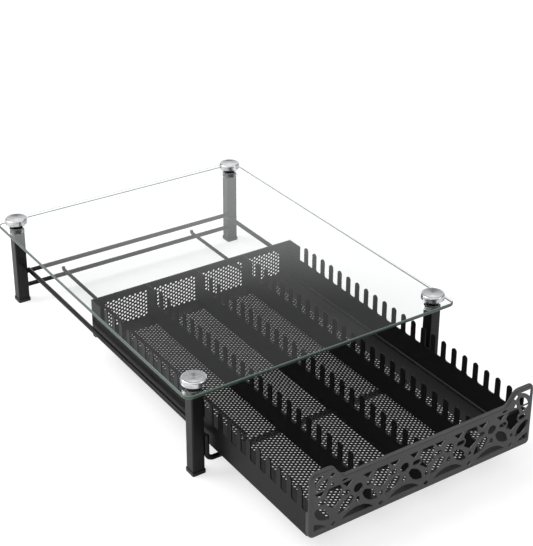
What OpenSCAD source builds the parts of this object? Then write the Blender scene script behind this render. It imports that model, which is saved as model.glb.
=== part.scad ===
// Coffee pod drawer: a glass-topped wire stand with a comb-sided sheet-metal tray sliding on
// two wire rails. X runs to the right, Y to the back, Z up. The origin is the bottom centre
// of the whole object with the tray pulled out by drawer_out.

/* [Glass top] */
// Width of the glass top
glass_w = 311; // [285:1:360]
// Depth of the glass top
glass_d = 416; // [400:1:460]
// Thickness of the glass
glass_t = 4; // [3:0.5:6]
// Radius of the glass corners
glass_corner_r = 8; // [4:1:20]
// Height of the glass top surface above the table
deck_z = 95; // [94:1:130]

/* [Legs] */
// Side of the square leg tube
leg_side = 12.7; // [10:0.1:16]
// Wall of the leg tube
leg_wall = 1.2; // [0.8:0.1:2]
// Outer corner radius of the leg tube
leg_corner_r = 1.4; // [0.8:0.1:2.5]
// Distance from the side edge of the glass to the leg
leg_inset_x = 11; // [8:0.5:14]
// Distance from the front or back edge of the glass to the leg
leg_inset_y = 10; // [8:0.5:20]
// Height of the plastic foot below the tube
foot_h = 3.5; // [2:0.5:8]
// How far the foot stands proud of the tube on each side
foot_lip = 0.7; // [0:0.1:2]
// Length of the foot's plug inside the tube
foot_plug_h = 10; // [5:1:20]
// Gap between a plug and the tube wall
plug_gap = 0.1; // [0.05:0.05:0.3]
// Length of the threaded insert in the top of the leg
insert_h = 12; // [9:1:25]

/* [Glass fixings] */
// Diameter of the metal caps on the glass
cap_d = 24; // [18:1:32]
// Height of the caps
cap_h = 6.5; // [4:0.5:12]
// Rounding of the top edge of the caps
cap_edge_r = 1.5; // [0.5:0.1:1.8]
// Depth of the shallow dish in the top of the caps
cap_dish = 0.4; // [0.2:0.1:0.8]
// Diameter of the washers under the caps
washer_d = 19; // [14:1:24]
// Thickness of the washers under the caps
washer_t = 1.3; // [0.5:0.1:3]
// Diameter of the gaskets between the legs and the glass
gasket_d = 12; // [10:1:16]
// Thickness of those gaskets
gasket_t = 1; // [0.5:0.1:2]
// Diameter of the screw stud of the caps
stud_d = 6; // [4:0.5:7]
// How far the stud reaches into the insert
stud_reach = 8; // [5:1:9]
// Gap round the stud in the glass
stud_hole_gap = 1; // [0.5:0.1:2]
// Gap round the stud in the insert and the washers
thread_gap = 0.15; // [0.05:0.05:0.3]

/* [Wire frame] */
// Diameter of the frame wire
bar_d = 5; // [4:0.5:6]
// Diameter of the two rail wires
rail_d = 4; // [3:0.5:5]
// Height of the centre of the upper back bar
upper_bar_z = 34; // [30:1:45]
// Height of the centre of the side rods
side_rod_z = 37; // [32:1:60]
// Height of the centre of the front crossbar
front_bar_z = 13; // [11:0.5:14]
// Centreline radius of the front wire's lower bends
front_bend_r = 7; // [5:0.5:9]
// Distance from the front of the leg to the front wire's centreline
front_wire_inset = 1; // [0:0.5:3]
// Distance from the tray's side in to each rail
rail_inset = 39.5; // [20:0.5:60]
// Centreline radius of the rails' bends
rail_bend_r = 2.6; // [2.6:0.1:4]
// How far the rails' back tips stand above the rails
rail_tip_h = 0.4; // [0.2:0.1:3]
// How far the rails' front tips reach below the crossbar's centreline
rail_drop = 2; // [0:0.5:4]

/* [Tray] */
// How far the tray is pulled out
drawer_out = 146; // [60:1:180]
// Gap between the rails and the tray
slide_gap = 0.3; // [0.1:0.1:1]
// Height of the tray's underside above the table
tray_z = 23.9; // [23:0.1:28]
// Gap between each side of the tray and the legs
tray_side_gap = 7.3; // [2:0.1:16]
// Length of the tray from the panel's face to the back
tray_l = 395; // [360:1:396]
// Thickness of the sheet metal
sheet_t = 1.2; // [0.8:0.1:1.5]
// Outside radius of the sheet bends
bend_r = 3; // [2:0.1:3.5]
// Depth of the flanges folded from each wall
flange = 6; // [5:0.5:9]
// Height of the back wall and the rear corners above the underside
back_h = 42.6; // [36:0.2:50]

/* [Combs] */
// Height of the combs above the tray's underside
comb_h = 46.1; // [40:0.1:55]
// Height of the plain wall below the comb gaps
comb_wall_h = 26.1; // [20:0.1:32]
// Width of a finger
finger_w = 6.5; // [5:0.1:8]
// Distance between fingers
finger_pitch = 15.75; // [14:0.05:16]
// Distance from the panel's face to the first finger's centre
finger_first = 15.3; // [12:0.1:20]
// Number of fingers on each comb
finger_n = 23; // [8:1:23]
// Radius at the root of a finger
root_r = 2.4; // [0.5:0.1:3]
// Distance between the middle lines of the dividers
column_pitch = 60; // [56:0.5:61]

/* [Perforation] */
// Distance between hole columns across the tray
hole_pitch_x = 9.6; // [6.4:0.1:16]
// Distance between holes in one column
hole_pitch_l = 13; // [9:0.1:20]
// Diameter of a hole
hole_d = 7.4; // [3:0.1:8]
// Plain border of the tray's floor at the sides
floor_border_x = 20; // [10:1:30]
// Plain border of the tray's floor at the front and back
floor_border_y = 12; // [8:1:30]
// Plain border of the back wall above and below its holes
back_border = 9; // [7:1:14]

/* [Front panel] */
// Height of the panel's middle above the tray's underside
panel_h = 53; // [50:0.1:56]
// Height of the panel's corner ears above the tray's underside
ear_h = 66.1; // [60:0.1:66.9]
// Width of the flat top of an ear, to the sharp corner
ear_w = 23.5; // [18:0.5:30]
// Outer corner radius of an ear
ear_outer_r = 7; // [5:0.5:9]
// Inner corner radius of an ear
ear_inner_r = 9; // [5:0.5:10]
// Fillet where the ear's slope meets the panel's top
ear_fillet_r = 8; // [2:0.5:9]
// How much larger the panel's lower corners are than its bends
corner_extra = 2; // [1.1:0.1:3]
// Plain band along the bottom of the panel
band_low = 6.6; // [5:0.1:8]
// Plain band along the top of the panel
band_high = 7.2; // [5:0.1:9]
// Plain border at the sides of the panel
band_side = 4; // [3:0.1:6]
// Distance between the rings of the fretwork
fret_pitch = 50; // [48:0.5:52]
// Number of whole ring bays across the panel
fret_bays = 4; // [2:2:4]
// Radius of the ring holes
ring_r = 4.7; // [3:0.1:6]
// Diameter of the rod behind the panel
stop_rod_d = 3; // [2:0.5:4]
// Height of the rod's centre above the tray's underside
stop_rod_h = 38.6; // [34:0.1:46]
// Distance from the panel to the rod's centre
stop_rod_out = 4.5; // [4:0.5:6]
// Plain length between the tray's side and the rod's end
stop_rod_inset = 7; // [4:0.5:12]

/* [Hidden] */
$fn = 48;
cut = 1;

LEFT = -1;
RIGHT = 1;
FRONT = -1;
BACK = 1;

// Corner names of the stand with their sides
CORNERS = [
    ["front_left", LEFT, FRONT], ["front_right", RIGHT, FRONT],
    ["back_left", LEFT, BACK], ["back_right", RIGHT, BACK]
];

// The stand stands behind the origin and the tray in front of it
stand_y = drawer_out / 2;
panel_y = -(glass_d + drawer_out) / 2;

leg_x = glass_w / 2 - leg_inset_x - leg_side / 2;
leg_y = glass_d / 2 - leg_inset_y - leg_side / 2;
leg_inner_x = leg_x - leg_side / 2;
glass_low_z = deck_z - glass_t;
leg_top_z = glass_low_z - gasket_t;
plug_side = leg_side - 2 * leg_wall - 2 * plug_gap;
plug_corner_r = 0.6;

// The rails carry the tray, and the lower back bar carries the rails
rail_z = tray_z - slide_gap - rail_d / 2;
lower_bar_z = rail_z - rail_d / 2 - bar_d / 2;
side_rod_x = leg_inner_x - bar_d / 2;
front_wire_y = -(leg_y + leg_side / 2 - front_wire_inset);
rail_front_y = front_wire_y + bar_d / 2 + rail_d / 2;

// The tray fills the width between the legs
tray_half = leg_inner_x - tray_side_gap;
tray_w = 2 * tray_half;
rail_x = tray_half - rail_inset;
bend_in = bend_r - sheet_t;
corner_r = bend_r + corner_extra;
floor_half = tray_half - flange;
comb_gap_w = finger_pitch - finger_w;
comb_back = finger_first + (finger_n - 1) * finger_pitch;
rear_block = comb_back + finger_w / 2 + comb_gap_w;
// The panel's slopes rise 4 for 3 across
slope_a = atan2(4, 3);
// Strip of the panel's face that belongs to its rim
lap = 1;

field_h = panel_h - band_high - band_low;
field_half = tray_half - band_side;

// ---- plain shapes ----

// A square with round corners, centred
module round_square(x, y, r) {
    square([x - 2 * r, y], center = true);
    square([x, y - 2 * r], center = true);
    for (sx = [-1, 1], sy = [-1, 1])
        translate([sx * (x / 2 - r), sy * (y / 2 - r)])
            circle(r);
}

// A plate standing along Y: 2D x becomes Y, 2D y becomes Z, centred on x = 0
module along_y(t) {
    translate([-t / 2, 0, 0])
        rotate([90, 0, 90])
            linear_extrude(t)
                children();
}

// A plate facing the front: 2D y becomes Z, and it is t thick behind y = 0
module facing_front(t) {
    translate([0, t, 0])
        rotate([90, 0, 0])
            linear_extrude(t)
                children();
}

// A round wire of diameter d from its start along one axis
module wire_x(d, length) {
    rotate([0, 90, 0])
        cylinder(h = length, d = d);
}
module wire_y(d, length) {
    rotate([-90, 0, 0])
        cylinder(h = length, d = d);
}

// A quarter bend of wire in the X-Z plane: from the -Z direction round to +X
module quarter_bend(d, r) {
    rotate([90, 0, 0])
        rotate_extrude(angle = 90)
            translate([r, 0])
                circle(d = d);
}

// Section of a sheet's edge bent through a right angle: it leaves the wall at x = 0 and ends
// along y = 0
module edge_section() {
    difference() {
        translate([bend_r, bend_r])
            circle(bend_r);
        translate([bend_r, bend_r])
            circle(bend_in);
        translate([bend_r, -cut])
            square([bend_r + cut, 2 * bend_r + 2 * cut]);
        translate([-cut, bend_r])
            square([2 * bend_r + 2 * cut, bend_r + cut]);
    }
}

// The same with a flange that runs on along y = 0
module bend_section() {
    edge_section();
    translate([bend_r, 0])
        square([flange - bend_r, sheet_t]);
}

// A pill lying along x, centred
module pill(w, r) {
    square([w - 2 * r, 2 * r], center = true);
    for (side = [-1, 1])
        translate([side * (w / 2 - r), 0])
            circle(r);
}

// A lens of two equal arcs, its tips at a and b
module lens(a, b, w) {
    d = b - a;
    len = norm(d);
    r = (len * len + w * w) / (4 * w);
    translate((a + b) / 2)
        rotate(atan2(d[1], d[0]))
            intersection() {
                translate([0, r - w / 2])
                    circle(r, $fn = 96);
                translate([0, w / 2 - r])
                    circle(r, $fn = 96);
            }
}

// ---- stand ----

module at_corner(c) {
    translate([c[1] * leg_x, stand_y + c[2] * leg_y, 0])
        children();
}

module glass_top() {
    color("lightcyan", 0.4)
        translate([0, stand_y, glass_low_z])
            linear_extrude(glass_t)
                difference() {
                    round_square(glass_w, glass_d, glass_corner_r);
                    for (c = CORNERS)
                        translate([c[1] * leg_x, c[2] * leg_y])
                            circle(d = stud_d + 2 * stud_hole_gap);
                }
}

module leg() {
    color("#222222")
        translate([0, 0, foot_h])
            linear_extrude(leg_top_z - foot_h)
                difference() {
                    round_square(leg_side, leg_side, leg_corner_r);
                    square(leg_side - 2 * leg_wall, center = true);
                }
}

module foot() {
    color("#161616") {
        linear_extrude(foot_h)
            round_square(leg_side + 2 * foot_lip, leg_side + 2 * foot_lip, leg_corner_r);
        translate([0, 0, foot_h])
            linear_extrude(foot_plug_h)
                round_square(plug_side, plug_side, plug_corner_r);
    }
}

module insert() {
    color("#9a9a9a")
        translate([0, 0, leg_top_z - insert_h])
            linear_extrude(insert_h)
                difference() {
                    round_square(plug_side, plug_side, plug_corner_r);
                    circle(d = stud_d + 2 * thread_gap);
                }
}

module ring_plate(z, t, outer_d, inner_d) {
    translate([0, 0, z])
        linear_extrude(t)
            difference() {
                circle(d = outer_d);
                circle(d = inner_d);
            }
}

module gasket() {
    color("#181818")
        ring_plate(leg_top_z, gasket_t, gasket_d, stud_d + 2 * thread_gap);
}

module washer() {
    color("#111111")
        ring_plate(deck_z, washer_t, washer_d, stud_d + 2 * thread_gap);
}

// Half section of a cap: chamfered foot, straight side, rounded rim and dished top
module cap_section() {
    cap_r = cap_d / 2;
    foot_chamfer = 1;
    dish_r = cap_r - cap_edge_r - 1;
    dish_ball = (dish_r * dish_r + cap_dish * cap_dish) / (2 * cap_dish);
    difference() {
        union() {
            polygon([
                [0, 0], [cap_r - foot_chamfer, 0], [cap_r, foot_chamfer],
                [cap_r, cap_h - cap_edge_r], [cap_r - cap_edge_r, cap_h], [0, cap_h]
            ]);
            translate([cap_r - cap_edge_r, cap_h - cap_edge_r])
                circle(cap_edge_r);
        }
        translate([0, cap_h - cap_dish + dish_ball])
            circle(dish_ball, $fn = 180);
        translate([-cap_d, -cut])
            square([cap_d, cap_h + 2 * cut]);
    }
}

module cap() {
    color("#c8c8cc") {
        translate([0, 0, deck_z + washer_t])
            rotate_extrude()
                cap_section();
        translate([0, 0, leg_top_z - stud_reach])
            cylinder(h = deck_z + washer_t - leg_top_z + stud_reach, d = stud_d);
    }
}

module back_bar(z) {
    color("#202020")
        translate([-leg_inner_x, stand_y + leg_y, z])
            wire_x(bar_d, 2 * leg_inner_x);
}

// A straight rod along the inner faces of the two legs of one side
module side_rod(side) {
    rod_front = front_wire_y + bar_d / 2;
    rod_back = leg_y - bar_d / 2;
    color("#202020")
        translate([side * side_rod_x, stand_y + rod_front, side_rod_z])
            wire_y(bar_d, rod_back - rod_front);
}

// A wire bent into a wide U, upright at both ends, that passes under the tray
module front_wire() {
    run = side_rod_x - front_bend_r;
    top = side_rod_z + bar_d / 2;
    color("#202020")
        translate([0, stand_y + front_wire_y, front_bar_z]) {
            translate([-run, 0, 0])
                wire_x(bar_d, 2 * run);
            for (turn = [0, 180])
                rotate([0, 0, turn]) {
                    translate([run, 0, front_bend_r])
                        rotate([0, 90, 0])
                            quarter_bend(bar_d, front_bend_r);
                    translate([side_rod_x, 0, front_bend_r])
                        cylinder(h = top - front_bar_z - front_bend_r, d = bar_d);
                }
        }
}

// A rail: turned down behind the front crossbar and up behind the lower back bar
module rail(side) {
    straight_back = leg_y;
    straight_front = rail_front_y + rail_bend_r;
    drop_end = front_bar_z - rail_drop;
    color("#202020")
        translate([side * rail_x, stand_y, 0]) {
            translate([0, straight_front, rail_z])
                wire_y(rail_d, straight_back - straight_front);
            translate([0, straight_back, rail_z + rail_bend_r])
                rotate([0, 90, 90])
                    quarter_bend(rail_d, rail_bend_r);
            translate([0, straight_back + rail_bend_r, rail_z + rail_bend_r])
                cylinder(h = rail_tip_h, d = rail_d);
            translate([0, straight_front, rail_z - rail_bend_r])
                rotate([0, -90, 90])
                    quarter_bend(rail_d, rail_bend_r);
            translate([0, rail_front_y, drop_end])
                cylinder(h = rail_z - rail_bend_r - drop_end, d = rail_d);
        }
}

// ---- tray ----

module in_tray() {
    translate([0, panel_y, tray_z])
        children();
}

// One row of fingers above a plain wall, in 2D, from y0 to the plain rear corner
module finger_row() {
    tip_r = finger_w / 2;
    for (i = [0 : finger_n - 1])
        translate([finger_first + i * finger_pitch, 0]) {
            translate([-tip_r, comb_wall_h - cut])
                square([finger_w, comb_h - comb_wall_h - tip_r + cut]);
            translate([0, comb_h - tip_r])
                circle(tip_r);
            for (side = [-1, 1])
                translate([side * tip_r, comb_wall_h])
                    mirror([side < 0 ? 1 : 0, 0])
                        difference() {
                            square(root_r);
                            translate([root_r, root_r])
                                circle(root_r);
                        }
        }
}

// The side walls with their combs, folded inwards along the bottom
module side_comb(side) {
    color("#1d1d1e")
        in_tray()
            mirror([side < 0 ? 0 : 1, 0, 0])
                translate([-tray_half, 0, 0]) {
                    translate([sheet_t / 2, 0, 0])
                        along_y(sheet_t) {
                            translate([flange, bend_r])
                                square([tray_l - flange, comb_wall_h - bend_r]);
                            translate([tray_l - flange, 0])
                                square([flange, bend_r + cut]);
                            finger_row();
                            translate([rear_block, comb_wall_h - cut])
                                square([tray_l - rear_block, back_h - comb_wall_h + cut]);
                        }
                    translate([0, tray_l - flange, 0])
                        rotate([90, 0, 0])
                            linear_extrude(tray_l - flange - flange)
                                bend_section();
                }
}

// A divider between two pod columns: it meets the panel and the back wall, and its flange is
// welded to the floor between their bends
module divider(x) {
    wall_end = tray_l - sheet_t;
    color("#1d1d1e")
        in_tray()
            translate([x, 0, sheet_t]) {
                along_y(sheet_t) {
                    translate([sheet_t, bend_r])
                        square([wall_end - sheet_t, comb_wall_h - sheet_t - bend_r]);
                    translate([0, -sheet_t])
                        finger_row();
                    translate([rear_block, comb_wall_h - sheet_t - cut])
                        square([wall_end - rear_block, back_h - comb_wall_h + cut]);
                }
                translate([-sheet_t / 2, tray_l - bend_r, 0])
                    rotate([90, 0, 0])
                        linear_extrude(tray_l - 2 * bend_r)
                            bend_section();
            }
}

// Staggered columns of round holes over a field, centred
module hole_field(w, h) {
    cols = floor((w - hole_d) / 2 / hole_pitch_x);
    rows = floor((h - hole_d) / 2 / hole_pitch_l);
    for (i = [-cols : cols]) {
        stagger = (i + 2 * cols) % 2;
        for (j = [-rows : rows - stagger])
            translate([i * hole_pitch_x, (j + stagger / 2) * hole_pitch_l])
                circle(d = hole_d);
    }
}

module tray_floor() {
    floor_l = tray_l - 2 * flange;
    color("#1d1d1e")
        in_tray()
            translate([0, tray_l / 2, 0])
                linear_extrude(sheet_t)
                    difference() {
                        square([2 * floor_half, floor_l], center = true);
                        hole_field(2 * (tray_half - floor_border_x), floor_l - 2 * floor_border_y);
                    }
}

// The back wall between the side walls, with its holes in one field per pod column
module back_wall() {
    inner_half = tray_half - sheet_t;
    field = column_pitch - 10;
    color("#1d1d1e")
        in_tray() {
            translate([0, tray_l - sheet_t, 0])
                facing_front(sheet_t)
                    difference() {
                        translate([-inner_half, bend_r])
                            square([2 * inner_half, back_h - bend_r]);
                        for (i = [-1.5 : 1.5])
                            translate([i * column_pitch, back_h / 2])
                                hole_field(field, back_h - 2 * back_border);
                    }
            translate([-inner_half, tray_l, 0])
                rotate([90, 0, 90])
                    linear_extrude(2 * inner_half)
                        mirror([1, 0])
                            bend_section();
        }
}

// ---- front panel ----

// Centres of the ear's outer corner, its inner corner and its foot, for the +x side
ear_out = [tray_half - ear_outer_r, ear_h - ear_outer_r];
ear_in = [tray_half - ear_w + ear_inner_r * tan(slope_a / 2), ear_h - ear_inner_r];
ear_foot = [
    tray_half - ear_w - (ear_h - panel_h) / tan(slope_a) - ear_fillet_r * tan(slope_a / 2),
    panel_h + ear_fillet_r
];

function at_angle(a) = [cos(a), sin(a)];
function arc_points(c, r, a0, a1) = [for (t = [0, 0.5, 1]) c + r * at_angle(a0 + t * (a1 - a0))];

// The panel's flat face, which ends halfway into the strips that the rim brings
module panel_face() {
    inset = bend_r + lap / 2;
    for (side = [-1, 1])
        mirror([side < 0 ? 1 : 0, 0])
            polygon(concat(
                [[0, inset]],
                arc_points([tray_half - corner_r, corner_r], corner_r - inset, -90, 0),
                arc_points(ear_out, ear_outer_r - inset, 0, 90),
                arc_points(ear_in, ear_inner_r - inset, 90, 90 + slope_a),
                arc_points(ear_foot, ear_fillet_r + inset, slope_a - 90, -90),
                [[0, panel_h - inset]]
            ));
}

// Section of the rim: a strip of the face and a bend, with the floor's flange where it is deep
module rim_section(deep) {
    translate([0, bend_r])
        square([sheet_t, lap]);
    if (deep)
        bend_section();
    else
        edge_section();
}

// The rim along a straight run from p, its outer side facing angle a
module rim_run(p, a, length, deep = false) {
    translate([p[0], 0, p[1]])
        rotate([0, -a, 0])
            rotate(90)
                linear_extrude(length)
                    rim_section(deep);
}

// The rim round the centre p at radius r: a quarter turn from the angle a0, or the first part
// of one. Round the outside of a hollow corner the section looks away from p
module rim_turn(p, r, a0, sweep = 90, deep = false, hollow = false) {
    translate([p[0], 0, p[1]])
        difference() {
            rotate([-90, 0, 0])
                rotate(-a0 - 90)
                    rotate_extrude(angle = 90)
                        translate([r, 0])
                            mirror([hollow ? 1 : 0, 0])
                                rotate(90)
                                    rim_section(deep);
            if (sweep < 90)
                rotate([0, -a0 - sweep, 0])
                    translate([0, -cut, 0])
                        cube(r + bend_r + lap + cut);
        }
}

// The rim: deep round the lower edge and up to the walls' top, shallow above them
module panel_rim() {
    slope_top = ear_in + ear_inner_r * at_angle(90 + slope_a);
    slope_end = ear_foot + ear_fillet_r * at_angle(slope_a - 90);
    rim_run([-tray_half + corner_r, 0], -90, tray_w - 2 * corner_r, deep = true);
    rim_run([ear_foot[0], panel_h], 90, 2 * ear_foot[0]);
    for (side = [-1, 1])
        mirror([side < 0 ? 1 : 0, 0, 0]) {
            rim_turn([tray_half - corner_r, corner_r], corner_r, -90, deep = true);
            rim_run([tray_half, corner_r], 0, comb_wall_h - corner_r, deep = true);
            rim_run([tray_half, comb_wall_h], 0, ear_out[1] - comb_wall_h);
            rim_turn(ear_out, ear_outer_r, 0);
            rim_run([ear_out[0], ear_h], 90, ear_out[0] - ear_in[0]);
            rim_turn(ear_in, ear_inner_r, 90, slope_a);
            rim_run(slope_top, 90 + slope_a, norm(slope_top - slope_end));
            rim_turn(ear_foot, ear_fillet_r, -90, slope_a, hollow = true);
        }
}

// Right half of the openings of one bay of the fretwork: the ring is at x = 0, the field's
// bottom at y = 0, and k is the field's height over its drawn height of 39
module fret_half_bay(k) {
    half = fret_pitch / 2;
    ring_y = 27 * k;
    rim = ring_r + 3.6;
    arch_half = 17;
    arch_low = 0.8 * k;
    arch_h = 7.4 * k;
    arch_r = (arch_half * arch_half + arch_h * arch_h) / (2 * arch_h);
    eye_x = 13.3;
    star_half = 8.2;
    // leaf below the ring
    difference() {
        lens([4.4, 22.6 * k], [20.4, 7.2 * k], 9.4);
        translate([0, ring_y])
            circle(rim);
    }
    // eye beside the ring
    translate([eye_x, ring_y])
        pill(9, 2.5);
    // spandrel under the top band
    polygon([[4.6, 38.4 * k], [17, 38.4 * k], [11, 32 * k]]);
    // half of the star on the line between two bays
    difference() {
        polygon([
            [half, 16.6 * k], [half - star_half, 22.4 * k], [half - star_half, 33.4 * k],
            [half - 5.6, 38.4 * k], [half, 38.4 * k]
        ]);
        translate([eye_x + 0.7, ring_y])
            circle(5);
    }
    // half of the small diamond below it
    polygon([[half, -2 * k], [half - 2.8, 0.6 * k], [half, 3.2 * k]]);
    // half of the arch along the bottom
    intersection() {
        translate([0, arch_low + arch_h - arch_r])
            circle(arch_r, $fn = 96);
        translate([0, arch_low])
            square([arch_half, arch_h + 1]);
    }
}

module fret_bay(k) {
    half = fret_pitch / 2;
    for (side = [-1, 1])
        mirror([side < 0 ? 1 : 0, 0])
            fret_half_bay(k);
    translate([0, 27 * k])
        circle(ring_r);
    lens([0, 11.4 * k], [0, 18.6 * k], 4.2);
    lens([half, 8.6 * k], [half, 14 * k], 3.2);
}

// Openings in one ear, for the +x side
module ear_fret() {
    top = ear_h - band_side;
    shelf = panel_h - band_high + 0.4;
    slope_x = tray_half - ear_w;
    hub = [slope_x + 3.5, shelf - 4.2];
    // corner triangle and leaf, both round the same hub
    difference() {
        polygon([
            [field_half - 0.4, top - 0.8], [field_half - 0.4, top - 11],
            [field_half - 13.5, top - 0.8]
        ]);
        translate(hub)
            circle(18.6, $fn = 96);
    }
    intersection() {
        translate(hub)
            circle(14.6, $fn = 96);
        polygon([
            hub + [17, 4.2], hub + [3.6, 4.2], hub + [1.6, 12.4], hub + [4.6, 17], hub + [17, 17]
        ]);
    }
    translate([slope_x + 1.2, ear_h - 8.4])
        rotate(45)
            square(4.2, center = true);
    polygon([hub + [-5, 4.2], hub + [0.6, 4.2], hub + [-1.8, 10]]);
    translate([slope_x - 11.8, shelf + 1.4])
        pill(6, 1.5);
}

module fretwork() {
    k = field_h / 39;
    intersection() {
        translate([-field_half, -band_low])
            square([2 * field_half, panel_h]);
        for (i = [-fret_bays / 2 : fret_bays / 2 - 1])
            translate([(i + 0.5) * fret_pitch, 0])
                fret_bay(k);
    }
    // the outermost bays are cut off by the side borders
    intersection() {
        translate([-field_half, -band_low])
            square([2 * field_half, panel_h]);
        for (side = [-1, 1])
            mirror([side < 0 ? 1 : 0, 0])
                translate([(fret_bays + 1) * fret_pitch / 2, 0])
                    mirror([1, 0])
                        fret_half_bay(k);
    }
}

// The pressed panel: a pierced face with a folded rim that the floor and side walls meet
module front_panel() {
    color("#3a3a3c")
        in_tray()
            difference() {
                union() {
                    facing_front(sheet_t)
                        panel_face();
                    panel_rim();
                }
                translate([0, -cut, 0])
                    facing_front(sheet_t + 2 * cut) {
                        translate([0, band_low])
                            fretwork();
                        for (side = [-1, 1])
                            mirror([side < 0 ? 1 : 0, 0])
                                ear_fret();
                    }
            }
}

// A rod behind the panel that keeps the first pods off the fretwork
module pod_stop_rod() {
    half = tray_half - stop_rod_inset;
    bend = stop_rod_d;
    y0 = sheet_t + stop_rod_out;
    color("#2a2a2b")
        in_tray()
            translate([0, y0, stop_rod_h]) {
                translate([-half + bend, 0, 0])
                    wire_x(stop_rod_d, 2 * (half - bend));
                for (side = [-1, 1])
                    mirror([side < 0 ? 1 : 0, 0, 0]) {
                        translate([half - bend, -bend, 0])
                            rotate_extrude(angle = 90)
                                translate([bend, 0])
                                    circle(d = stop_rod_d);
                        translate([half, sheet_t - y0, 0])
                            wire_y(stop_rod_d, stop_rod_out - bend);
                    }
            }
}

glass_top();
for (c = CORNERS) {
    at_corner(c) leg();
    at_corner(c) foot();
    at_corner(c) insert();
    at_corner(c) gasket();
    at_corner(c) washer();
    at_corner(c) cap();
}
back_bar(upper_bar_z);  // upper_back_bar
back_bar(lower_bar_z);  // lower_back_bar
side_rod(LEFT);  // side_rod_left
side_rod(RIGHT);  // side_rod_right
front_wire();
rail(LEFT);  // rail_left
rail(RIGHT);  // rail_right
tray_floor();
side_comb(LEFT);  // left_comb
side_comb(RIGHT);  // right_comb
divider(-column_pitch);  // divider_left
divider(0);  // divider_middle
divider(column_pitch);  // divider_right
back_wall();
front_panel();
pod_stop_rod();
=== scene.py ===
"""Looks for a coffee pod drawer: a perforated sheet tray with comb walls, run on wires under a glass deck.

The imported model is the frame. The glass, the tray's floor and its back wall are made again here with
finer edges and holes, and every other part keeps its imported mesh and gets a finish.
"""

import math

import bmesh
import bpy
from mathutils import Euler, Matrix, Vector


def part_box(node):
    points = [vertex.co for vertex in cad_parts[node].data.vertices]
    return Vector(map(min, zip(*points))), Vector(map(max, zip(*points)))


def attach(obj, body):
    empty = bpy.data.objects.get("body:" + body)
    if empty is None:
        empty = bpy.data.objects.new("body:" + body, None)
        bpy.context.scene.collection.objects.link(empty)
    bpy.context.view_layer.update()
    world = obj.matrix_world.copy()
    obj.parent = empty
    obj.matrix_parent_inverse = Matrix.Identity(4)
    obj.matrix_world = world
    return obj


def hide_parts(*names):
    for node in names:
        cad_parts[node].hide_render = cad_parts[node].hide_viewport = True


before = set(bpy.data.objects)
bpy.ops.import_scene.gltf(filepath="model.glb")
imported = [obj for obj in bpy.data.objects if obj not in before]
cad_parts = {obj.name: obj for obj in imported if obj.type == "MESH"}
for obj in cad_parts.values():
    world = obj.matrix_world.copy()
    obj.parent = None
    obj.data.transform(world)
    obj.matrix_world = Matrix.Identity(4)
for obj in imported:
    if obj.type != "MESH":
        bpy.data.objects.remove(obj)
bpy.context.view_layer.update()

bl_info = {
    "name": "Pod Drawer Looks",
    "version": (1, 0, 0),
    "blender": (4, 5, 0),
    "location": "View3D > Sidebar > Pod Drawer",
    "description": "Finishes and fine detail for a wire-framed pod drawer under a glass deck",
    "category": "Object",
}

MM = 0.001
WHITE = (1.0, 1.0, 1.0, 1.0)

STAND_NODES = ("leg_", "upper_back_bar", "lower_back_bar", "side_rod_", "front_wire", "rail_")
TRAY_NODES = ("left_comb", "right_comb", "divider_")
DIVIDER_NODES = ("divider_left", "divider_middle", "divider_right")
CAP_NODES = ("cap_front_left", "cap_front_right", "cap_back_left", "cap_back_right")


def named(*starts):
    """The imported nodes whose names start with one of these."""
    return [node for name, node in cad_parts.items() if name.startswith(starts)]


# Sizes and colours ------------------------------------------------------------------------------------


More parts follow.
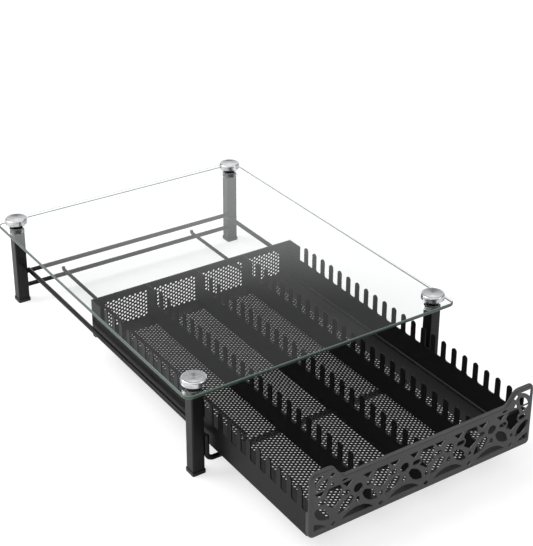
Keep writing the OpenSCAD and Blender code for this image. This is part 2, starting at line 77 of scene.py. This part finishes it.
class DrawerSizes(bpy.types.PropertyGroup):
    """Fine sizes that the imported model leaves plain."""

    hole_across: bpy.props.FloatProperty(
        name="Hole columns", description="Distance between columns of holes", default=3.2 * MM,
        unit="LENGTH"
    )
    hole_along: bpy.props.FloatProperty(
        name="Hole rows", description="Distance between the holes of one column", default=4.34 * MM,
        unit="LENGTH"
    )
    hole_width: bpy.props.FloatProperty(
        name="Hole width", description="Diameter of one hole", default=2.6 * MM, unit="LENGTH"
    )
    hole_flare: bpy.props.FloatProperty(
        name="Hole flare", description="How much a punched hole's radius widens to the sheet's far face",
        default=0.22 * MM, unit="LENGTH"
    )
    floor_margin: bpy.props.FloatProperty(
        name="Floor margin", description="Plain strip beside the side walls", default=22 * MM,
        unit="LENGTH"
    )
    floor_end: bpy.props.FloatProperty(
        name="Floor ends", description="Plain strip at the front and back", default=10 * MM,
        unit="LENGTH"
    )
    floor_seam: bpy.props.FloatProperty(
        name="Floor seam", description="Distance of the floor's seam from the middle divider's left face",
        default=2 * MM, unit="LENGTH"
    )
    wall_end: bpy.props.FloatProperty(
        name="Wall ends", description="Plain strip of the back wall beside the side walls",
        default=12.7 * MM, unit="LENGTH"
    )
    wall_strip_right: bpy.props.FloatProperty(
        name="Strip beside a divider", description="Plain strip of the back wall right of a divider",
        default=3.9 * MM, unit="LENGTH"
    )
    wall_foot: bpy.props.FloatProperty(
        name="Wall foot", description="Plain strip of the back wall below its holes", default=3.1 * MM,
        unit="LENGTH"
    )
    wall_head: bpy.props.FloatProperty(
        name="Wall head", description="Plain strip of the back wall above its holes", default=6.8 * MM,
        unit="LENGTH"
    )
    wall_bend: bpy.props.FloatProperty(
        name="Wall bend", description="Outer radius of the bend under the back wall", default=3 * MM,
        unit="LENGTH"
    )
    edge_ease: bpy.props.FloatProperty(
        name="Eased edges", description="Radius of the coat over cut edges", default=0.6 * MM,
        unit="LENGTH"
    )
    glass_arris: bpy.props.FloatProperty(
        name="Glass arris", description="Width of the ground corner of the glass", default=0.8 * MM,
        unit="LENGTH"
    )
    glass_radius: bpy.props.FloatProperty(
        name="Glass corner", description="Radius of the deck's corners", default=8 * MM, unit="LENGTH"
    )
    stud_hole: bpy.props.FloatProperty(
        name="Stud hole", description="Radius of the deck's hole for the stud of a cap", default=4 * MM,
        unit="LENGTH"
    )


class DrawerColours(bpy.types.PropertyGroup):
    """Colours of the finishes, linear."""

    frame_black: bpy.props.FloatVectorProperty(
        name="Frame black", description="Powder coat of the legs and wires", subtype="COLOR",
        default=(0.0065, 0.0065, 0.007)
    )
    tray_black: bpy.props.FloatVectorProperty(
        name="Tray black", description="Powder coat of the tray", subtype="COLOR",
        default=(0.0065, 0.0065, 0.007)
    )
    panel_grey: bpy.props.FloatVectorProperty(
        name="Panel grey", description="Powder coat of the front panel", subtype="COLOR",
        default=(0.055, 0.055, 0.057)
    )
    glass_edge: bpy.props.FloatVectorProperty(
        name="Glass edge", description="Tint of the glass seen through its edge", subtype="COLOR",
        default=(0.048, 0.085, 0.063)
    )
    floor: bpy.props.FloatVectorProperty(
        name="Floor", description="Studio floor", subtype="COLOR", default=(0.8, 0.8, 0.8)
    )


def sizes():
    return bpy.context.scene.drawer_sizes


def colours():
    return bpy.context.scene.drawer_colours


# Shader maths -----------------------------------------------------------------------------------------


class Sock:
    """An output socket that Python's operators extend with Math nodes."""

    def __init__(self, shading, socket):
        self.shading = shading
        self.socket = socket

    def __add__(self, other):
        return self.shading.maths("ADD", self, other)

    __radd__ = __add__

    def __mul__(self, other):
        return self.shading.maths("MULTIPLY", self, other)

    __rmul__ = __mul__

    def __sub__(self, other):
        return self.shading.maths("SUBTRACT", self, other)

    def __rsub__(self, other):
        return self.shading.maths("SUBTRACT", other, self)

    def __truediv__(self, other):
        return self.shading.maths("DIVIDE", self, other)

    def __rtruediv__(self, other):
        return self.shading.maths("DIVIDE", other, self)

    def __pow__(self, other):
        return self.shading.maths("POWER", self, other)

    def __abs__(self):
        return self.shading.maths("ABSOLUTE", self)


class Shading:
    """The nodes of one tree."""

    # The inputs of a Mix node that mixes colours, and its output
    MIX_SHARE, MIX_LOW, MIX_HIGH, MIXED = 0, 6, 7, 2

    def __init__(self, tree, output):
        tree.nodes.clear()
        self.tree = tree
        self.output = tree.nodes.new(output)

    def node(self, kind, settings=None, inputs=None, output=0):
        """A node of this kind, with its settings made first and its sockets then filled or linked."""
        made = self.tree.nodes.new(kind)
        for key, value in (settings or {}).items():
            setattr(made, key, value)
        for key, value in (inputs or {}).items():
            if isinstance(value, Sock):
                self.tree.links.new(value.socket, made.inputs[key])
            else:
                made.inputs[key].default_value = value
        return Sock(self, made.outputs[output])

    def maths(self, operation, *values):
        return self.node("ShaderNodeMath", {"operation": operation}, dict(enumerate(values)))

    def surface(self, shader):
        self.tree.links.new(shader.socket, self.output.inputs["Surface"])

    def place(self):
        """The point's place in metres."""
        return self.node("ShaderNodeTexCoord", output="Object")

    def split(self, vector):
        """The vector's x, y and z."""
        parts = self.node("ShaderNodeSeparateXYZ", None, {"Vector": vector}).socket.node.outputs
        return [Sock(self, part) for part in parts]

    def ray(self, kind):
        """1 for rays of this kind, such as Is Camera Ray."""
        return self.node("ShaderNodeLightPath", output=kind)

    def rise(self, value, start, end, low=0.0, high=1.0):
        """A smooth step from low to high as a value goes from start to end."""
        return self.node(
            "ShaderNodeMapRange", {"interpolation_type": "SMOOTHSTEP"},
            {"Value": value, "From Min": start, "From Max": end, "To Min": low, "To Max": high}
        )

    def within(self, low, high, soft=0.15 * MM):
        """1 inside a box in metres, with soft sides."""
        share = 1.0
        for value, start, end in zip(self.split(self.place()), low, high):
            share = share * self.rise(value, start, start + soft) * self.rise(value, end, end - soft)
        return share

    def noise(self, size, detail=2.0, rough=0.5):
        """Noise from 0 to 1 whose blobs are about this many metres across."""
        return self.node(
            "ShaderNodeTexNoise", {"noise_dimensions": "3D"},
            {"Vector": self.place(), "Scale": 1 / size, "Detail": detail, "Roughness": rough}
        )

    def mix(self, share, low, high):
        """A colour from low to high."""
        return self.node(
            "ShaderNodeMix", {"data_type": "RGBA"},
            {self.MIX_SHARE: share, self.MIX_LOW: tint(low), self.MIX_HIGH: tint(high)}, output=self.MIXED
        )

    def bump(self, height, depth, strength=1.0, eased=0.0):
        """A bumped normal, over edges that are eased by this radius."""
        inputs = {"Height": height, "Distance": depth, "Strength": strength}
        if eased:
            inputs["Normal"] = self.node("ShaderNodeBevel", {"samples": 6}, {"Radius": eased})
        return self.node("ShaderNodeBump", None, inputs)

    def principled(self, **inputs):
        """The main shader. Its sockets are named here with _ for a space."""
        sockets = {key.replace("_", " "): value for key, value in inputs.items()}
        return self.node("ShaderNodeBsdfPrincipled", None, sockets)


class Finish(Shading):
    """A material and the nodes that make it."""

    def __init__(self, name):
        self.material = bpy.data.materials.new(name)
        self.material.use_nodes = True
        super().__init__(self.material.node_tree, "ShaderNodeOutputMaterial")

    def surface(self, shader):
        super().surface(shader)
        return self.material


def tint(colour):
    """A colour with its alpha, or the socket as it is."""
    return colour if isinstance(colour, Sock) else (*colour[:3], 1.0)


def scaled(colour, share):
    return tuple(share * c for c in colour[:3])


# Finishes ---------------------------------------------------------------------------------------------


def powder_coat(name, colour, roughness, mirror, grain, depth, painted_shade_box=None):
    """Baked powder coat: a fine orange peel, faint clouds in the colour and a little gloss change.

    Inside a box, given as a low and a high corner, the colour is painted the tray's black as shade.
    """
    coat = Finish(name)
    clouds = coat.noise(30 * MM, 3.0, 0.55)
    peel = coat.noise(grain, 2.0, 0.6)
    base = coat.mix(clouds, scaled(colour, 0.75), scaled(colour, 1.3))
    if painted_shade_box:
        # Painted shade: inside the box the coat's colour turns to the tray's black
        base = coat.mix(coat.within(*painted_shade_box), base, colours().tray_black)
    gloss = roughness + 0.12 * (clouds - 0.5) + 0.08 * (peel - 0.5)
    return coat.surface(coat.principled(
        Base_Color=base, Roughness=gloss, IOR=1.5, Specular_IOR_Level=mirror,
        Normal=coat.bump(peel, depth, 0.8, sizes().edge_ease)
    ))


def moulded_plastic(name, colour, roughness):
    """Injection-moulded black plastic with a very fine spark texture."""
    plastic = Finish(name)
    spark = plastic.noise(0.35 * MM, 1.0, 0.5)
    base = plastic.mix(plastic.noise(6 * MM), scaled(colour, 0.8), scaled(colour, 1.25))
    return plastic.surface(plastic.principled(
        Base_Color=base, Roughness=roughness + 0.1 * (spark - 0.5), IOR=1.48,
        Normal=plastic.bump(spark, 0.02 * MM, 0.6, sizes().edge_ease)
    ))


def soft_rubber():
    """Black rubber with a film of dust."""
    rubber = Finish("black_rubber")
    dust = rubber.noise(3 * MM, 4.0, 0.7)
    base = rubber.mix(dust, (0.012, 0.012, 0.012), (0.035, 0.035, 0.034))
    return rubber.surface(rubber.principled(
        Base_Color=base, Roughness=0.7 + 0.15 * (dust - 0.5), IOR=1.5,
        Normal=rubber.bump(rubber.noise(0.3 * MM), 0.03 * MM, 0.5)
    ))


def plated_steel():
    """Zinc-plated steel with a faint spangle."""
    zinc = Finish("zinc_steel")
    spangle = zinc.noise(2 * MM, 3.0, 0.6)
    base = zinc.mix(spangle, (0.42, 0.43, 0.45), (0.6, 0.61, 0.63))
    return zinc.surface(zinc.principled(
        Base_Color=base, Metallic=1.0, Roughness=0.3 + 0.2 * (spangle - 0.5),
        Normal=zinc.bump(spangle, 0.01 * MM, 0.4)
    ))


def spun_chrome():
    """Chrome on caps turned on a lathe: fine rings about the middle draw each highlight out across them."""
    chrome = Finish("polished_chrome")
    smear = chrome.noise(5 * MM, 3.0, 0.6)
    cap_width, ring_pitch = 24 * MM, 0.7 * MM
    x, y, _ = chrome.split(chrome.node("ShaderNodeTexCoord", output="Generated"))
    radius = cap_width * ((x - 0.5) * (x - 0.5) + (y - 0.5) * (y - 0.5)) ** 0.5
    rings = chrome.maths("SINE", radius * (2 * math.pi / ring_pitch))
    base = chrome.mix(smear, (0.7, 0.705, 0.72), (0.8, 0.805, 0.82))
    return chrome.surface(chrome.principled(
        Base_Color=base, Metallic=1.0, Roughness=0.19 + 0.06 * (smear - 0.5), Anisotropic=0.85,
        Normal=chrome.bump(smear + 0.2 * rings, 0.01 * MM, 0.3)
    ))


def clear_glass():
    """Toughened clear glass: seen through with a faint green, and mirroring more at a slant."""
    glass = Finish("clear_glass")
    clear = glass.node("ShaderNodeBsdfTransparent", None, {"Color": (0.985, 0.992, 0.988, 1)})
    mirror = glass.node("ShaderNodeBsdfGlossy", None, {"Color": (0.97, 0.98, 0.98, 1), "Roughness": 0.02})
    one_face = glass.node("ShaderNodeFresnel", None, {"IOR": 1.55})
    outside = 1 - glass.node("ShaderNodeNewGeometry", output="Backfacing")
    both_faces = 2 * one_face / (1 + one_face)
    share = both_faces * outside
    return glass.surface(glass.node("ShaderNodeMixShader", None, {0: share, 1: clear, 2: mirror}))


def glass_edge():
    """The polished edge, green from outside, where it is seen down its length, and clear from inside."""
    edge = Finish("glass_edge")
    depth = edge.noise(14 * MM, 2.0, 0.5)
    colour = colours().glass_edge
    base = edge.mix(depth, scaled(colour, 0.75), scaled(colour, 1.25))
    outside = edge.principled(
        Base_Color=base, Roughness=0.12 + 0.08 * depth, IOR=1.52, Specular_IOR_Level=0.8
    )
    inside = edge.node("ShaderNodeBsdfTransparent", None, {"Color": (0.88, 0.92, 0.9, 1)})
    backs = edge.node("ShaderNodeNewGeometry", output="Backfacing")
    return edge.surface(edge.node("ShaderNodeMixShader", None, {0: backs, 1: outside, 2: inside}))


def glass_arris():
    """The ground corner between the edge and a face: a fine line, frosted and pale."""
    arris = Finish("glass_arris")
    grain = arris.noise(1.2 * MM, 3.0, 0.6)
    base = arris.mix(grain, (0.09, 0.125, 0.105), (0.16, 0.205, 0.18))
    return arris.surface(arris.principled(
        Base_Color=base, Roughness=0.42 + 0.15 * (grain - 0.5), IOR=1.52,
        Normal=arris.bump(grain, 0.02 * MM, 0.5)
    ))


def give(finish, objects):
    """This finish on every face of these objects."""
    for each in objects:
        each.data.materials.clear()
        each.data.materials.append(finish)


# Mesh making ------------------------------------------------------------------------------------------


def make_piece(name, mesh, finish_list, body, node):
    """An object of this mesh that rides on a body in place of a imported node."""
    piece = bpy.data.objects.new(name, mesh)
    bpy.context.scene.collection.objects.link(piece)
    for finish in finish_list:
        mesh.materials.append(finish)
    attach(piece, body)
    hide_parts(node)


def circle_points(x, y, radius, steps):
    """Points of a circle, anticlockwise from its right."""
    turns = [2 * math.pi * i / steps for i in range(steps)]
    return [(x + radius * math.cos(t), y + radius * math.sin(t)) for t in turns]


def rounded_outline(low, high, radius, steps=14):
    """Points of a rectangle with round corners, anticlockwise, with so many steps to a corner."""
    left, right, front, back = low.x + radius, high.x - radius, low.y + radius, high.y - radius
    points = []
    for i, (x, y) in enumerate(((right, back), (left, back), (left, front), (right, front))):
        for j in range(steps + 1):
            turn = math.radians(90 * (i + j / steps))
            points.append((x + radius * math.cos(turn), y + radius * math.sin(turn)))
    return points


def ring_of(mesh, points, z):
    return [mesh.verts.new((x, y, z)) for x, y in points]


def skin(mesh, lower, upper, material, flip=False):
    """A band of faces between two loops of as many points."""
    for i in range(len(lower)):
        j = (i + 1) % len(lower)
        corners = [lower[i], lower[j], upper[j], upper[i]]
        face = mesh.faces.new(corners[::-1] if flip else corners)
        face.material_index = material
        face.smooth = True


def plate_face(mesh, loops, material, up):
    """A flat face inside the first loop and outside the others."""
    edges = []
    for loop in loops:
        for i in range(len(loop)):
            j = (i + 1) % len(loop)
            edges.append(mesh.edges.get((loop[i], loop[j])) or mesh.edges.new((loop[i], loop[j])))
    made = bmesh.ops.triangle_fill(mesh, use_beauty=True, use_dissolve=False, edges=edges)
    faces = [f for f in made["geom"] if isinstance(f, bmesh.types.BMFace)]
    for face in faces:
        face.material_index = material
        face.normal_update()
        if (face.normal.z > 0) != up:
            face.normal_flip()


def glass_mesh():
    """The deck: a slab with ground arrises and a hole for each cap's stud.

    Its slots hold the finishes of its faces, its edge and its arrises.
    """
    face, edge, arris = range(3)
    hole_steps = 24
    low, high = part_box("glass_top")
    width, radius = sizes().glass_arris, sizes().glass_radius
    inset = Vector((width, width, 0))
    full = rounded_outline(low, high, radius)
    small = rounded_outline(low + inset, high - inset, radius - width)
    mesh = bmesh.new()
    loops = [
        ring_of(mesh, small, low.z), ring_of(mesh, full, low.z + width),
        ring_of(mesh, full, high.z - width), ring_of(mesh, small, high.z)
    ]
    for lower, upper, material in zip(loops, loops[1:], (arris, edge, arris)):
        skin(mesh, lower, upper, material)
    bottoms, tops = [loops[0]], [loops[-1]]
    for cap in CAP_NODES:
        cap_low, cap_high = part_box(cap)
        centre = (cap_low + cap_high) / 2
        points = circle_points(centre.x, centre.y, sizes().stud_hole, hole_steps)
        bottom, top = ring_of(mesh, points, low.z), ring_of(mesh, points, high.z)
        skin(mesh, bottom, top, edge, flip=True)
        bottoms.append(bottom)
        tops.append(top)
    plate_face(mesh, bottoms, face, up=False)
    plate_face(mesh, tops, face, up=True)
    made = bpy.data.meshes.new("glass_deck")
    mesh.to_mesh(made)
    mesh.free()
    return made


def closed(loop):
    """The loop's points and its first point once more."""
    return [*loop, loop[0]]


class Sheet:
    """A flat sheet tiled by plain plates and by bricks that each hold a hole.

    A point is given by its place u, v in the sheet and by the face that it lies on, 0 or 1. Points that
    meet, to a ten-thousandth of a millimetre, are one.
    """

    HOLE_SIDES = 10
    WELDS_PER_METRE = 1e7

    def __init__(self, thickness, to_frame):
        self.thickness = thickness
        self.to_frame = to_frame
        self.places = {}
        self.points = []
        self.faces = []

    def point(self, u, v, level):
        key = (round(u * self.WELDS_PER_METRE), round(v * self.WELDS_PER_METRE), level)
        if key not in self.places:
            self.places[key] = len(self.points)
            self.points.append(self.to_frame(u, v, self.thickness * level))
        return self.places[key]

    def line(self, outline, level):
        return [self.point(u, v, level) for u, v in outline]

    def plate(self, outline):
        """A plain flat piece of the sheet, both faces."""
        self.faces.append(self.line(outline, 1))
        self.faces.append(self.line(outline, 0)[::-1])

    def band(self, first, second):
        """Faces between two lines of as many points."""
        for a, b, c, d in zip(first, first[1:], second[1:], second):
            self.faces.append([a, b, c, d])

    def wall(self, outline):
        """The cut edge that joins both faces along a line of points, anticlockwise round the sheet."""
        self.band(self.line(outline, 0), self.line(outline, 1))

    def brick(self, u, v, width, height):
        """One brick with a round hole at its middle. Its sides carry the points of its neighbours too."""
        w, h = width / 2, height / 2
        border = [(w, 0), (w, h), (-w, h), (-w, 0), (-w, -h), (w, -h)]
        border_turns = [math.atan2(y, x) % (2 * math.pi) for x, y in border]
        hole_turns = [2 * math.pi * i / self.HOLE_SIDES for i in range(self.HOLE_SIDES)]
        radius = sizes().hole_width / 2
        rings = []
        for level, reach in enumerate((radius + sizes().hole_flare, radius)):
            out = self.line([(u + x, v + y) for x, y in border], level)
            ring = self.line(circle_points(u, v, reach, self.HOLE_SIDES), level)
            for face in self.web(out, ring, border_turns, hole_turns):
                self.faces.append(face if level else face[::-1])
            rings.append(closed(ring))
        self.band(rings[1], rings[0])

    @staticmethod
    def web(out, ring, out_turns, ring_turns):
        """Triangles between an outer and an inner loop, both anticlockwise from a turn of 0."""
        out, ring = closed(out), closed(ring)
        out_turns, ring_turns = [*out_turns, 2 * math.pi], [*ring_turns, 2 * math.pi]
        faces = []
        i = j = 0
        while i < len(out) - 1 or j < len(ring) - 1:
            ring_done = j == len(ring) - 1
            out_done = i == len(out) - 1
            if ring_done or (not out_done and out_turns[i + 1] <= ring_turns[j + 1]):
                faces.append([out[i], out[i + 1], ring[j]])
                i += 1
            else:
                faces.append([out[i], ring[j + 1], ring[j]])
                j += 1
        return faces

    def to_mesh(self, name):
        mesh = bpy.data.meshes.new(name)
        mesh.from_pydata(self.points, [], self.faces)
        mesh.update()
        return mesh


def perforated(sheet, plate, field):
    """Fills a plate of the sheet, with staggered holes in a field and plain metal round it.

    Plate and field are rectangles: left, right, low and high. Gives the low and high ends of the holes.
    """
    left, right, low, high = plate
    field_left, field_right, field_low, field_high = field
    across, along = sizes().hole_across, sizes().hole_along
    half = along / 2
    slack = 0.1  # the share of a column by which a field may be too narrow
    columns = int((field_right - field_left) / across + slack)
    rows = int((field_high - field_low - half) / along)
    length = rows * along + half
    u0 = (field_left + field_right) / 2 - columns * across / 2
    v0 = (field_low + field_high) / 2 - length / 2
    u1 = u0 + columns * across
    v1 = v0 + length
    for i in range(columns):
        u = u0 + (i + 0.5) * across
        shift = half * (i % 2)
        for j in range(rows):
            sheet.brick(u, v0 + shift + (j + 0.5) * along, across, along)
        start, end = (v0, v0 + half) if shift else (v1 - half, v1)
        near, far = u - across / 2, u + across / 2
        sheet.plate([(near, start), (far, start), (far, end), (near, end)])
    steps = 2 * rows + 1
    side_left = [(u0, v0 + k * half) for k in range(steps + 1)]
    side_right = [(u1, v0 + k * half) for k in range(steps + 1)]
    foot = [(u0 + k * across, v0) for k in range(columns + 1)]
    head = [(u0 + k * across, v1) for k in range(columns + 1)]
    sheet.plate([(left, v0), *side_left, (left, v1)])
    sheet.plate([(right, v1), *side_right[::-1], (right, v0)])
    sheet.plate([(left, low), (right, low), (right, v0), *foot[::-1], (left, v0)])
    sheet.plate([(right, high), (left, high), (left, v1), *head, (right, v1)])
    return v0, v1


# Operators --------------------------------------------------------------------------------------------


class DRAWER_OT_glass(bpy.types.Operator):
    """Makes the glass deck with its ground arrises"""

    bl_idname = "drawer.glass"
    bl_label = "Glass deck"

    def execute(self, context):
        finish_list = [clear_glass(), glass_edge(), glass_arris()]
        make_piece("glass_deck", glass_mesh(), finish_list, "stand", "glass_top")
        return {"FINISHED"}


class DRAWER_OT_floor(bpy.types.Operator):
    """Makes the tray's perforated floor in two halves that meet under the middle divider"""

    bl_idname = "drawer.floor"
    bl_label = "Perforated floor"

    def execute(self, context):
        low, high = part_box("tray_floor")
        divider_low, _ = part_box("divider_middle")
        seam = divider_low.x + sizes().floor_seam
        margin, end = sizes().floor_margin, sizes().floor_end
        finish = bpy.data.materials["tray_powder_coat"]
        halves = {
            "tray_floor_left": ((low.x, seam), (low.x + margin, seam)),
            "tray_floor_right": ((seam, high.x), (seam, high.x - margin)),
        }
        for name, (plate, field) in halves.items():
            sheet = Sheet(high.z - low.z, lambda u, v, w: (u, v, low.z + w))
            v0, v1 = perforated(sheet, (*plate, low.y, high.y), (*field, low.y + end, high.y - end))
            left, right = plate
            up = [low.y, v0, v1, high.y]
            sheet.wall(closed([(right, v) for v in up] + [(left, v) for v in up[::-1]]))
            make_piece(name, sheet.to_mesh(name), [finish], "tray", "tray_floor")
        return {"FINISHED"}


class DRAWER_OT_back_wall(bpy.types.Operator):
    """Makes the tray's back wall, with a field of holes behind each column of pods"""

    bl_idname = "drawer.back_wall"
    bl_label = "Back wall"

    def execute(self, context):
        low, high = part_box("back_wall")
        floor_low, floor_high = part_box("tray_floor")
        thickness = floor_high.z - floor_low.z
        bottom = low.z + sizes().wall_bend
        field_low, field_high = low.z + sizes().wall_foot, high.z - sizes().wall_head
        divider_faces = [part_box(name)[0].x + thickness for name in DIVIDER_NODES]
        edges = [low.x, *divider_faces, high.x]
        least_strip = 0.1 * MM
        sheet = Sheet(thickness, lambda u, v, w: (u, high.y - w, v))
        for left, right in zip(edges, edges[1:]):
            plain_left = sizes().wall_end if left == low.x else sizes().wall_strip_right
            plain_right = sizes().wall_end if right == high.x else least_strip
            v0, v1 = perforated(
                sheet, (left, right, bottom, high.z),
                (left + plain_left, right - plain_right, field_low, field_high)
            )
        right_side = [(high.x, v) for v in (bottom, v0, v1)]
        left_side = [(low.x, v) for v in (v1, v0, bottom)]
        sheet.wall([*right_side, *((x, high.z) for x in edges[::-1]), *left_side])
        self.flange(sheet, edges, low, high.y)
        finish = bpy.data.materials["tray_powder_coat"]
        mesh = sheet.to_mesh("tray_back_wall")
        make_piece("tray_back_wall", mesh, [finish], "tray", "back_wall")
        return {"FINISHED"}

    @staticmethod
    def flange(sheet, edges, low, back):
        """The bend under the wall and the flange that runs on into the floor.

        Each edge of a field of holes has a line of points down the outer and down the inner face.
        """
        steps = 6
        bend, thickness = sizes().wall_bend, sheet.thickness
        turns = [math.radians(90 * i / steps) for i in range(1, steps + 1)]
        sections = []
        for level, reach in enumerate((bend, bend - thickness)):
            arc = [(back - bend + reach * math.cos(t), low.z + bend - reach * math.sin(t)) for t in turns]
            sections.append([*arc, (low.y, low.z + thickness * level)])
        lines = []
        for x in edges:
            pair = []
            for level, section in enumerate(sections):
                start = len(sheet.points)
                sheet.points.extend((x, y, z) for y, z in section)
                pair.append([sheet.point(x, low.z + bend, level), *range(start, start + len(section))])
            lines.append(pair)
        for (outer, inner), (next_outer, next_inner) in zip(lines, lines[1:]):
            sheet.band(next_outer, outer)
            sheet.band(inner, next_inner)
            sheet.faces.append([next_outer[-1], next_inner[-1], inner[-1], outer[-1]])
        sheet.band(*lines[0])
        sheet.band(*lines[-1][::-1])


class DRAWER_OT_finishes(bpy.types.Operator):
    """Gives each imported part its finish"""

    bl_idname = "drawer.finishes"
    bl_label = "Finishes"

    def execute(self, context):
        paint = colours()
        frame_coat = powder_coat(
            "frame_powder_coat", paint.frame_black,
            roughness=0.3, mirror=0.3, grain=0.9 * MM, depth=0.03 * MM
        )
        tray_coat = powder_coat(
            "tray_powder_coat", paint.tray_black,
            roughness=0.36, mirror=0.18, grain=0.7 * MM, depth=0.03 * MM
        )
        # The panel's coat is painted black as shade behind its face and inside its rim
        panel_coat = powder_coat(
            "panel_powder_coat", paint.panel_grey,
            roughness=0.34, mirror=0.4, grain=0.6 * MM, depth=0.03 * MM, painted_shade_box=self.rim_painted_shade_box()
        )
        rod_coat = powder_coat(
            "rod_powder_coat", paint.tray_black,
            roughness=0.3, mirror=0.3, grain=0.9 * MM, depth=0.02 * MM
        )
        give(frame_coat, named(*STAND_NODES))
        give(tray_coat, named(*TRAY_NODES))
        give(panel_coat, named("front_panel"))
        give(rod_coat, named("pod_stop_rod"))
        give(moulded_plastic("black_plastic", (0.012, 0.012, 0.012), roughness=0.36), named("foot_"))
        give(soft_rubber(), named("gasket_", "washer_"))
        give(plated_steel(), named("insert_"))
        give(spun_chrome(), named("cap_"))
        return {"FINISHED"}

    @staticmethod
    def rim_painted_shade_box():
        """The room behind the panel's face and inside its folded rim, up to just under the rim's top run,
        whose coat is painted black as shade.

        Its front and its foot lie within the steel, so that it darkens the faces there, and its sides
        clear the steel.
        """
        low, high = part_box("front_panel")
        side, face, foot, rim_height = 1.25 * MM, 1.05 * MM, 0.6 * MM, 50.5 * MM
        return (
            (low.x + side, low.y + face, low.z + foot),
            (high.x - side, high.y + face, low.z + rim_height)
        )


class DRAWER_OT_stage(bpy.types.Operator):
    """Sets the pale floor, the soft lights and the camera"""

    bl_idname = "drawer.stage"
    bl_label = "Stage"

    def execute(self, context):
        self.floor()
        self.world()
        self.lights()
        self.camera()
        context.scene.view_settings.view_transform = "Standard"
        return {"FINISHED"}

    @staticmethod
    def floor():
        """A pale paper floor. The camera sees it part lit, with its shadows, and part glowing evenly."""
        half, lit_share, glow_strength = 8.0, 0.62, 0.64
        mesh = bpy.data.meshes.new("studio_floor")
        corners = [(-half, -half, 0), (half, -half, 0), (half, half, 0), (-half, half, 0)]
        mesh.from_pydata(corners, [], [(0, 1, 2, 3)])
        floor = bpy.data.objects.new("studio_floor", mesh)
        bpy.context.scene.collection.objects.link(floor)
        paper = Finish("studio_paper")
        seen = paper.maths("MAXIMUM", paper.ray("Is Camera Ray"), paper.ray("Is Transmission Ray"))
        shade = paper.mix(seen, colours().floor, scaled(colours().floor, lit_share))
        diffuse = paper.node("ShaderNodeBsdfDiffuse", None, {"Color": shade})
        glow = paper.node("ShaderNodeEmission", None, {"Color": WHITE, "Strength": glow_strength * seen})
        paper.surface(paper.node("ShaderNodeAddShader", None, {0: diffuse, 1: glow}))
        mesh.materials.append(paper.material)

    @staticmethod
    def world():
        """White to the camera, and on the object soft light that falls from above and from the left.

        Mirrors see a pale backdrop low at the back, a pale wall at the left, a long light overhead and a
        dark room. The backdrop lies ahead of the camera, and the long light runs along its heading.
        """
        heading_x, heading_y = 0.57, 0.82
        room = 0.22
        world = bpy.data.worlds.new("studio_air")
        bpy.context.scene.world = world
        world.use_nodes = True
        air = Shading(world.node_tree, "ShaderNodeOutputWorld")
        x, y, z = air.split(air.node("ShaderNodeTexCoord", output="Generated"))
        ahead, aside = heading_x * x + heading_y * y, heading_y * x - heading_x * y
        backdrop = air.rise(z, 0.5, 0.43) * air.rise(ahead, 0.7, 0.88)
        left_wall = air.rise(z, 0.62, 0.5) * air.rise(x, -0.5, -0.75)
        overhead = air.rise(z, 0.6, 0.72) * air.rise(abs(aside), 0.5, 0.35)
        pale = air.maths("MAXIMUM", backdrop, air.maths("MAXIMUM", left_wall, overhead))
        mirrored = room + (1 - room) * pale
        ambient = 0.3 + air.rise(z, 0.0, 0.9, 0.0, 0.4) + air.rise(x, -0.1, -0.9, 0.0, 0.3)
        camera, glossy = air.ray("Is Camera Ray"), air.ray("Is Glossy Ray")
        strength = ambient + (1 - ambient) * camera + (mirrored - ambient) * glossy
        air.surface(air.node("ShaderNodeBackground", None, {"Color": WHITE, "Strength": strength}))

    @staticmethod
    def lights():
        """Two large soft boxes: one high at the back left, one weaker at the front right."""
        # Name, place, width and power of each
        boxes = (
            ("soft_box_back_left", Vector((-1.4, 1.3, 2.0)), 1.6, 42.0),
            ("soft_box_front_right", Vector((1.5, -1.6, 1.8)), 1.4, 14.0),
        )
        target = Vector((0, 0, 0.05))
        for name, place, width, power in boxes:
            data = bpy.data.lights.new(name, "AREA")
            data.shape = "SQUARE"
            data.size = width
            data.energy = power
            lamp = bpy.data.objects.new(name, data)
            bpy.context.scene.collection.objects.link(lamp)
            lamp.location = place
            lamp.rotation_euler = (target - place).to_track_quat("-Z", "Y").to_euler()

    @staticmethod
    def camera():
        """A long lens that looks down from the front left, shifted a little to hold the whole drawer."""
        tilt, roll, turn = 65.029, -0.8413, -34.8018
        data = bpy.data.cameras.new("camera")
        data.sensor_width = 36
        data.lens = 88.93
        data.shift_x = -0.0683
        data.shift_y = -0.15
        data.clip_end = 50
        eye = bpy.data.objects.new("camera", data)
        bpy.context.scene.collection.objects.link(eye)
        eye.location = (-0.64706, -1.00566, 0.76063)
        eye.rotation_euler = Euler([math.radians(a) for a in (tilt, roll, turn)])
        bpy.context.scene.camera = eye


# The finishes come first, because the floor and the back wall wear the tray's
STEPS = ("finishes", "glass", "floor", "back_wall", "stage")


class DRAWER_PT_panel(bpy.types.Panel):
    """Lists the steps and the values"""

    bl_idname = "DRAWER_PT_panel"
    bl_label = "Pod Drawer"
    bl_space_type = "VIEW_3D"
    bl_region_type = "UI"
    bl_category = "Pod Drawer"

    def draw(self, context):
        for group in (context.scene.drawer_sizes, context.scene.drawer_colours):
            for key in group.__annotations__:
                self.layout.prop(group, key)
        for step in STEPS:
            self.layout.operator("drawer." + step)


CLASSES = (
    DrawerSizes, DrawerColours, DRAWER_OT_finishes, DRAWER_OT_glass, DRAWER_OT_floor,
    DRAWER_OT_back_wall, DRAWER_OT_stage, DRAWER_PT_panel
)


def register():
    for made in CLASSES:
        bpy.utils.register_class(made)
    bpy.types.Scene.drawer_sizes = bpy.props.PointerProperty(type=DrawerSizes)
    bpy.types.Scene.drawer_colours = bpy.props.PointerProperty(type=DrawerColours)


def unregister():
    del bpy.types.Scene.drawer_sizes
    del bpy.types.Scene.drawer_colours
    for made in reversed(CLASSES):
        bpy.utils.unregister_class(made)


def main():
    register()
    for step in STEPS:
        getattr(bpy.ops.drawer, step)()


if __name__ == "__main__":
    main()
